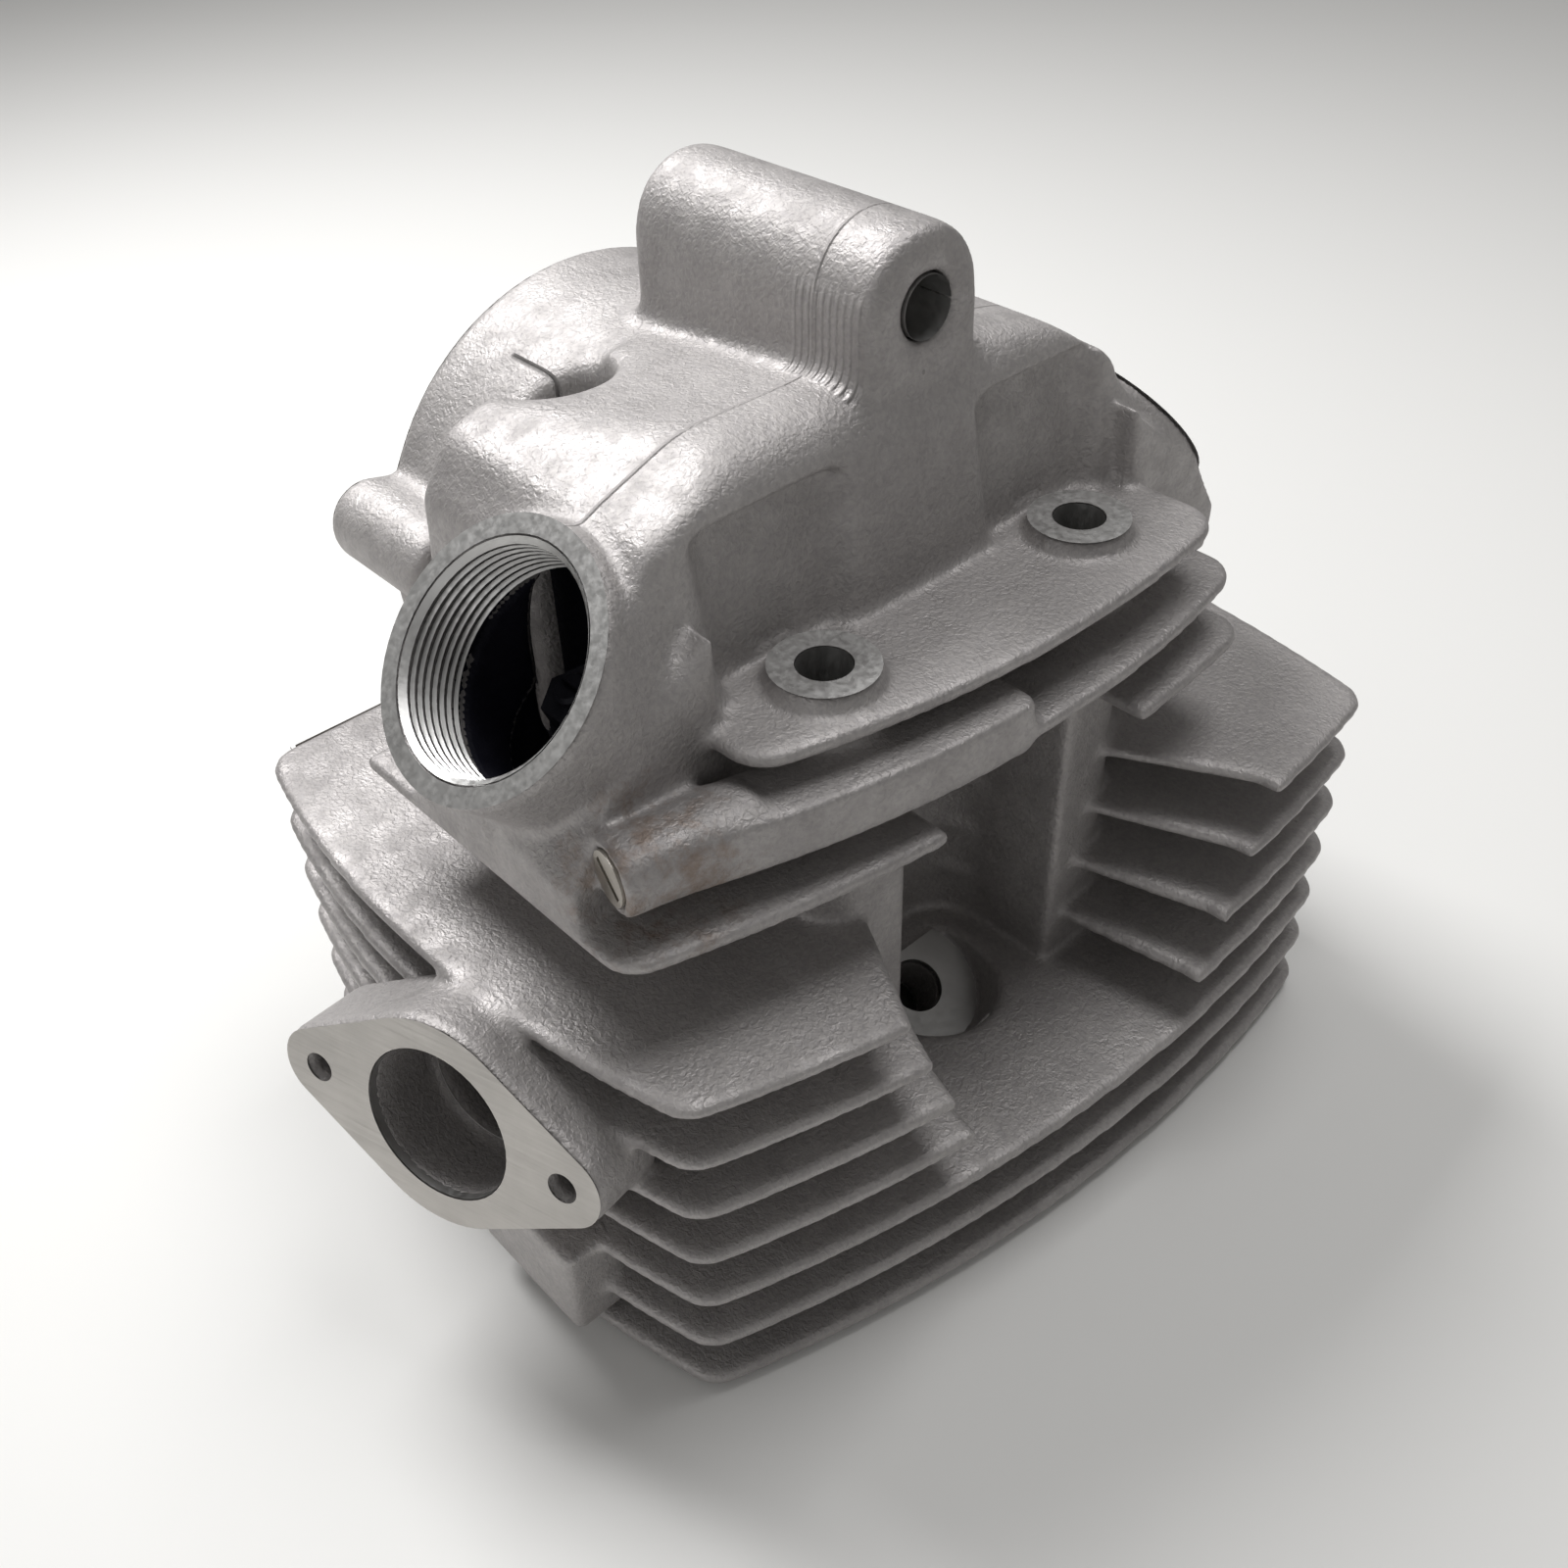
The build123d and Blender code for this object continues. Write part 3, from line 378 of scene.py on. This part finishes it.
def radial(p, centre, axis):
    """Height along an axis and distance from it, for each point."""
    d = p - np.array(centre)
    h = d @ axis
    return h, np.linalg.norm(d - h[:, None] * axis, axis=1)


def column(p, x, y):
    """Distance of each point from an upright axis."""
    return np.hypot(p[:, 0] - x, p[:, 1] - y)


def lug_radius(p):
    """Distance of each point from the lug hole's axis."""
    return np.hypot(p[:, 1] - LUG[0], p[:, 2] - LUG[1])


def machined_faces(p, n):
    """Which face centres p, with normals n, lie on a surface cut by a tool."""
    kind = np.full(len(p), AS_CAST)
    kind[(p[:, 2] < 0.05) | (p[:, 0] < COVER_FACE_X + 0.05)] = BASE_FACE
    for side in SIDES:
        h, r = radial(p, rim(side), axis_of(f"{side}_tappet_opening"))
        kind[(h > -0.1) & (h < 0.1) & (r < CAP_RING_R + 0.1)] = TURNED_FACE
        kind[(h > -wall_end(side) - 0.1) & (h < 0.1) & (r < CAP_BORE_R + 1.4)] = TURNED_FACE
    for x, y in STUDS:
        r = column(p, x, y)
        reach = cutter_reach(x)
        upright = np.abs(n[:, 2]) < 0.3
        flat = (np.abs(p[:, 2] - SPOTFACE_Z) < 0.05) & (r < reach + 0.1)
        bore = (r < STUD_HOLE_R + 0.2) & upright
        wall = (np.abs(r - reach) < 0.15) & (p[:, 2] > SPOTFACE_Z) & (p[:, 2] < CUTTER_TOP) & upright
        kind[flat | bore | wall] = TURNED_FACE
    for centre, axis, reach, bore_r, deep in PORTS:
        h, r = radial(p, centre, axis)
        kind[(np.abs(h) < 0.08) & (r < reach)] = PORT_FACE
        kind[(r < bore_r) & (h < 0.1) & (h > -deep)] = TURNED_FACE
    h, r = radial(p, PLUG_SEAT, axis_of("spark_plug_hole"))
    kind[(np.abs(h) < 0.1) & (r < PLUG_SEAT_R)] = TURNED_FACE
    kind[(r < PLUG_HOLE_R) & (h < 0.1) & (h > -PLUG_DEPTH)] = TURNED_FACE
    kind[lug_radius(p) < LUG_HOLE_R + 0.1] = TURNED_FACE
    return kind


def facing(p, n, centre):
    """Faces turned towards a centre, which may be one point or one per face."""
    return ((centre - p) * n).sum(1) > 0


def inside(p, n):
    """Walls of the rocker cavity, of the spring pockets and of the openings below their threads, which are
    painted with shade.
    """
    x, y, z = p.T
    core = np.stack([np.full(len(p), -9.0), y * 0.75, np.full(len(p), 112.0)], 1)
    dark = (x > -33) & (x < 15.5) & (np.abs(y) < 53) & (z > 60) & (z < 148.5) & facing(p, n, core)
    for side in SIDES:
        for origin, axis, low, high, reach in (
            (rim(side), axis_of(f"{side}_tappet_opening"), -42, -wall_end(side), CAP_BORE_R + 1.0),
            (foot(side), stem(side), 55.5, 101, 16.0),
        ):
            h, r = radial(p, origin, axis)
            on_axis = np.array(origin) + h[:, None] * axis
            dark |= (h > low) & (h < high) & (r < reach) & facing(p, n, on_axis)
    return dark


def mesh_arrays(mesh):
    """A mesh's points, one row each, in metres."""
    co = np.empty(len(mesh.vertices) * 3)
    mesh.vertices.foreach_get("co", co)
    return co.reshape(-1, 3)


def vertex_normals(mesh):
    vn = np.empty(len(mesh.vertices) * 3)
    mesh.vertices.foreach_get("normal", vn)
    return vn.reshape(-1, 3)


def face_arrays(mesh):
    """Face centres and normals in millimetres."""
    centre, normal = np.empty(len(mesh.polygons) * 3), np.empty(len(mesh.polygons) * 3)
    mesh.polygons.foreach_get("center", centre)
    mesh.polygons.foreach_get("normal", normal)
    return centre.reshape(-1, 3) / MM, normal.reshape(-1, 3)


def add_object(name, mesh):
    obj = bpy.data.objects.new(name, mesh)
    bpy.context.scene.collection.objects.link(obj)
    return obj


casting = frame["nodes"]["head_casting"]


# ---------------------------------------------------------------- cast skin: remeshed, corners softened
VOXEL, VOXEL_QUICK = 0.68, 1.4
FAR, BLEND = 9, 1.6
ROUNDS_ALL, ROUNDS_UPPER, ROUNDS_LAST = 9, 36, 2
SINK, SINK_THREAD = 0.4, 0.7


def remeshed_copy(name, voxel):
    """A copy of the casting with an even mesh, ready for softening."""
    obj = add_object(name, casting.data.copy())
    remesh = obj.modifiers.new("voxels", "REMESH")
    remesh.mode, remesh.voxel_size = "VOXEL", voxel * MM
    bpy.context.view_layer.update()
    evaluated = obj.evaluated_get(bpy.context.evaluated_depsgraph_get())
    mesh = bpy.data.meshes.new_from_object(evaluated)
    obj.modifiers.clear()
    obj.data = mesh
    return obj


def neighbours(mesh):
    """Both ends of every edge, once in each direction."""
    edges = np.empty(len(mesh.edges) * 2, np.int64)
    mesh.edges.foreach_get("vertices", edges)
    a, b = edges.reshape(-1, 2).T
    return np.concatenate([a, b]), np.concatenate([b, a])


def soften(co, frm, to, weight, rounds):
    """Moves each point towards its neighbours' mean, as far as its weight allows."""
    count = np.bincount(frm, minlength=len(co)).clip(1)
    for _ in range(rounds):
        mean = np.stack([np.bincount(frm, co[to, k], len(co)) for k in range(3)], 1) / count[:, None]
        co = co + weight[:, None] * (mean - co)
    return co


def near_machined(p):
    """1 on tool-cut surfaces, falling to 0 a little way off them."""
    away = np.full(len(p), float(FAR))

    def closer(distance, where=True):
        return np.minimum(away, np.where(where, np.abs(distance), FAR))

    for side in SIDES:
        h, r = radial(p, rim(side), axis_of(f"{side}_tappet_opening"))
        away = closer(h, r < CAP_RING_R + 1.5)
        away = closer(r - CAP_BORE_R, (h < 0.5) & (h > -14))
    for x, y in STUDS:
        r = column(p, x, y)
        reach = cutter_reach(x)
        away = closer(p[:, 2] - SPOTFACE_Z, r < reach + 0.8)
        away = closer(r - reach, (p[:, 2] > SPOTFACE_Z) & (p[:, 2] < CUTTER_TOP))
        away = closer(r - STUD_HOLE_R)
    for centre, axis, reach, *_ in (*PORTS, (PLUG_SEAT, axis_of("spark_plug_hole"), PLUG_SEAT_R + 0.9)):
        h, r = radial(p, centre, axis)
        away = closer(h, r < reach)
    away = closer(p[:, 2])
    away = closer(p[:, 0] - COVER_FACE_X)
    away = closer(lug_radius(p) - LUG_HOLE_R)
    return np.clip(BLEND - away, 0, 1)


def in_thread(p):
    """1 on the threaded walls of the tappet openings."""
    hit = np.zeros(len(p), bool)
    for side in SIDES:
        h, r = radial(p, rim(side), axis_of(f"{side}_tappet_opening"))
        hit |= (h > -wall_end(side)) & (h < -0.3) & (np.abs(r - CAP_BORE_R) < 1.2)
    return hit.astype(float)


def upper_body(p):
    """1 over the rocker box, lug and sprocket housing, whose cast corners are the roundest.

    The plug side wall keeps its stud pockets crisp.
    """
    x, y, z = p.T
    wall = (x > 14) & (z < 146) & (np.abs(y) < 50)
    box = (z > 120.6) | ((x < -30) & (z > 92)) | ((np.abs(y) > 50) & (z > 98) & (x > -20) & (x < 20))
    return np.where(box, np.where(wall, 0.12, 1.0), 0.0)


def set_points(mesh, p):
    mesh.vertices.foreach_set("co", (p * MM).ravel())
    mesh.update()


def cast_skin():
    """The casting's skin, rounded where it is as cast and sunk a little under its machined faces."""
    skin = remeshed_copy("head_casting_skin", VOXEL)
    mesh = skin.data
    p = mesh_arrays(mesh) / MM
    frm, to = neighbours(mesh)
    free = 0.5 * (1 - near_machined(p))
    p = soften(p, frm, to, free, ROUNDS_ALL)
    p = soften(p, frm, to, free * upper_body(p), ROUNDS_UPPER)
    p = soften(p, frm, to, np.full(len(p), 0.3), ROUNDS_LAST)
    set_points(mesh, p)
    p -= vertex_normals(mesh) * (SINK * near_machined(p) + SINK_THREAD * in_thread(p))[:, None]
    set_points(mesh, p)
    centre, normal = face_arrays(mesh)
    mesh.materials.clear()
    mesh.materials.append(CAST)
    # the inside walls get the second material, painted shade
    mesh.materials.append(PAINTED_SHADE)
    mesh.polygons.foreach_set("material_index", inside(centre, normal).astype(np.int32))
    mesh.polygons.foreach_set("use_smooth", np.ones(len(centre), bool))
    return skin


skin = cast_skin()
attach(skin, "head")
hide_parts("head_casting")


# ---------------------------------------------------------------- machined faces: the CAD's own
DRAWN_IN = {TURNED_FACE: 0.18, BASE_FACE: 0.8, PORT_FACE: 0.18}
FINISH = {TURNED_FACE: TURNED, BASE_FACE: MILLED, PORT_FACE: MILLED}


def drawn_in(co, faces, normals, amounts):
    """Moves each face's open edges inwards by its amount, so that none stands past the softened skin."""
    seen = {}
    for k, face in enumerate(faces):
        for a, b in zip(face, face[1:] + face[:1]):
            seen[(a, b)] = k
    shift, reach = np.zeros_like(co), np.zeros(len(co))
    for (a, b), k in seen.items():
        if (b, a) not in seen:
            along = co[b] - co[a]
            length = np.linalg.norm(along)
            if length > 0:
                inward = np.cross(normals[k], along / length)
                shift[a] += inward
                shift[b] += inward
                reach[a] = max(reach[a], amounts[k])
                reach[b] = max(reach[b], amounts[k])
    size = np.linalg.norm(shift, axis=1)
    size[size == 0] = 1
    moved = co + shift / size[:, None] * reach[:, None]
    return np.clip(moved, co.min(axis=0), co.max(axis=0))


def machined_skin():
    """The casting's tool-cut faces as a sheet of their own, with sharp edges."""
    mesh = casting.data
    centre, normal = face_arrays(mesh)
    kind = machined_faces(centre, normal)
    co = mesh_arrays(mesh)
    chosen = [poly for poly in mesh.polygons if kind[poly.index] != AS_CAST]
    used = sorted({v for poly in chosen for v in poly.vertices})
    index = {v: i for i, v in enumerate(used)}
    sheet = [tuple(index[v] for v in poly.vertices) for poly in chosen]
    amounts = [DRAWN_IN[kind[poly.index]] * MM for poly in chosen]
    pts = drawn_in(co[used], sheet, [normal[poly.index] for poly in chosen], amounts)
    out = bpy.data.meshes.new("machined_faces")
    out.from_pydata([tuple(q) for q in pts], [], sheet)
    for mat in FINISH.values():
        out.materials.append(mat)
    finish = np.array([kind[poly.index] - TURNED_FACE for poly in chosen], np.int32)
    out.polygons.foreach_set("material_index", finish)
    out.update()
    obj = add_object("head_machined_faces", out)
    split = obj.modifiers.new("split", "EDGE_SPLIT")
    split.split_angle = math.radians(30)
    bpy.context.view_layer.update()
    evaluated = obj.evaluated_get(bpy.context.evaluated_depsgraph_get())
    obj.data = bpy.data.meshes.new_from_object(evaluated)
    obj.modifiers.clear()
    obj.data.polygons.foreach_set("use_smooth", np.ones(len(obj.data.polygons), bool))
    return obj


faces = machined_skin()
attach(faces, "head")


# ---------------------------------------------------------------- valve springs wound round the valve stems
def coil_mesh(name, side, radius, wire, turns, sides=12, steps=36):
    """A round wire wound up the valve's stem, closed at both ends."""
    up = stem(side)
    u = np.array([1.0, 0, 0])
    v = np.cross(up, u)
    base = foot(side)
    low, high = SPRING_H0 + wire, SPRING_H1 - wire
    t = np.linspace(0, 1, int(turns * steps) + 1)
    a = 2 * math.pi * turns * t
    out = np.cos(a)[:, None] * u + np.sin(a)[:, None] * v
    line = base + (low + (high - low) * t)[:, None] * up + radius * out
    ring = 2 * math.pi * np.arange(sides) / sides
    pts = line[:, None] + wire * (
        np.cos(ring)[None, :, None] * out[:, None] + np.sin(ring)[None, :, None] * up
    )
    quads = []
    for i in range(len(t) - 1):
        for k in range(sides):
            j = (k + 1) % sides
            quads.append((i * sides + k, i * sides + j, (i + 1) * sides + j, (i + 1) * sides + k))
    last = (len(t) - 1) * sides
    quads += [tuple(range(sides))[::-1], tuple(last + k for k in range(sides))]
    mesh = bpy.data.meshes.new(name)
    mesh.from_pydata([tuple(q) for q in (pts * MM).reshape(-1, 3)], [], quads)
    mesh.polygons.foreach_set("use_smooth", np.ones(len(quads), bool))
    mesh.materials.append(STEEL["spring_steel"])
    return mesh


for side in SIDES:
    for kind, radius, wire, turns in (("outer", 11.6, 1.7, 4.0), ("inner", 8.1, 1.05, 5.0)):
        name = f"{side}_{kind}_spring"
        spring = add_object(name + "_coil", coil_mesh(name, side, radius, wire, turns))
        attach(spring, "head")
        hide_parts(name)
        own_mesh(spring)


# ---------------------------------------------------------------- floor, light and camera
LIT_POINT = (0, 0, 0.08)


def stage_floor():
    bpy.ops.mesh.primitive_plane_add(size=6, location=(0, 0, size_at_start[0].z - 0.0002))
    floor = bpy.context.object
    mat, nodes, links, shader = new_material("floor")
    shader.inputs["Base Color"].default_value = (0.80, 0.795, 0.78, 1)
    shader.inputs["Roughness"].default_value = 0.7
    floor.data.materials.append(mat)


def area_light(name, place, aim, size, power):
    data = bpy.data.lights.new(name, "AREA")
    data.shape, data.size, data.energy = "SQUARE", size, power
    obj = bpy.data.objects.new(name, data)
    bpy.context.scene.collection.objects.link(obj)
    obj.location = place
    obj.rotation_euler = (Vector(aim) - Vector(place)).to_track_quat("-Z", "Y").to_euler()


def add_camera(place, azimuth, elevation, roll, lens):
    """The scene's camera; its angles are in degrees, and the roll is anticlockwise."""
    data = bpy.data.cameras.new("camera")
    data.sensor_width, data.lens = 36, lens
    data.clip_start, data.clip_end = 0.01, 20
    obj = bpy.data.objects.new("camera", data)
    bpy.context.scene.collection.objects.link(obj)
    a, e, r = map(math.radians, (azimuth, elevation, roll))
    back = Vector((math.sin(a) * math.cos(e), -math.cos(a) * math.cos(e), math.sin(e)))
    right0 = Vector((math.cos(a), math.sin(a), 0))
    up0 = back.cross(right0)
    right = right0 * math.cos(r) + up0 * math.sin(r)
    up = up0 * math.cos(r) - right0 * math.sin(r)
    obj.matrix_world = Matrix.Translation(place) @ Matrix((right, up, back)).transposed().to_4x4()
    bpy.context.scene.camera = obj


stage_floor()
world = bpy.data.worlds.new("studio")
bpy.context.scene.world = world
world.use_nodes = True
world.node_tree.nodes["Background"].inputs["Color"].default_value = (1.0, 0.99, 0.97, 1)
world.node_tree.nodes["Background"].inputs["Strength"].default_value = 0.22
for name, place, size, power in (
    ("key", (-0.5, -0.05, 0.72), 0.35, 6.5),
    ("top", (0.05, 0.25, 0.95), 0.4, 3.0),
    ("fill", (0.2, -0.9, 0.45), 0.6, 1.0),
):
    area_light(name, place, LIT_POINT, size, power)
add_camera((0.1683, -0.1613, 0.2588), azimuth=48.29, elevation=39.95, roll=-2.07, lens=35.82)
bpy.context.scene.view_settings.view_transform = "Standard"
